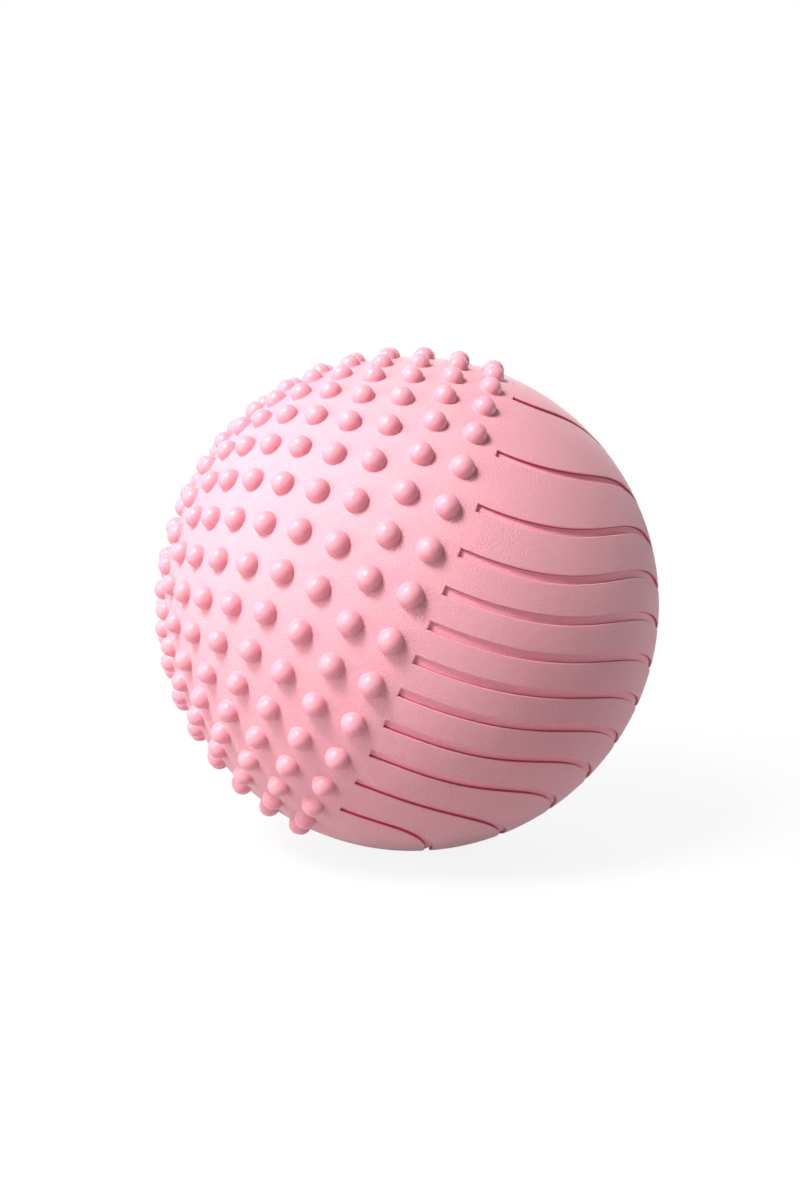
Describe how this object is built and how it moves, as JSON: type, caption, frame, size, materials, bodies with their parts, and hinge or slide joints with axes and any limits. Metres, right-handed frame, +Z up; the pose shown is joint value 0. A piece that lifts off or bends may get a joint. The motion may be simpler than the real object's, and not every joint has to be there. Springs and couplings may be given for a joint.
{
  "type": "nubbed exercise ball",
  "caption": "Inflatable vinyl massage and exercise ball: round nubs over one half, wavy moulded grooves over the other, with a recessed push-in air plug.",
  "frame": {"origin": "centre of the flat patch the ball stands on, on the floor plane, straight under the ball's centre", "axes": "+Z up; X to the right and Y away from the viewer as in the source picture; the grooved pole lies towards +X and 23 degrees below the horizontal"},
  "size_m": [0.6624, 0.6723, 0.6613],
  "materials": {
    "pink_vinyl": "fine grained matt vinyl with satin nubs",
    "pink_vinyl_seat": "plain matt vinyl",
    "white_plug_plastic": "smooth semi-gloss"
  },
  "bodies": {
    "ball": {"ball_skin": "pink_vinyl", "valve_seat": "pink_vinyl_seat"},
    "plug": {"air_plug": "white_plug_plastic"}
  },
  "joints": [
    {"name": "plug_pull", "type": "slide", "parent": "ball", "child": "plug", "axis": [0.5582, 0.2679, 0.7853], "range_m": [0, 0.04]}
  ]
}
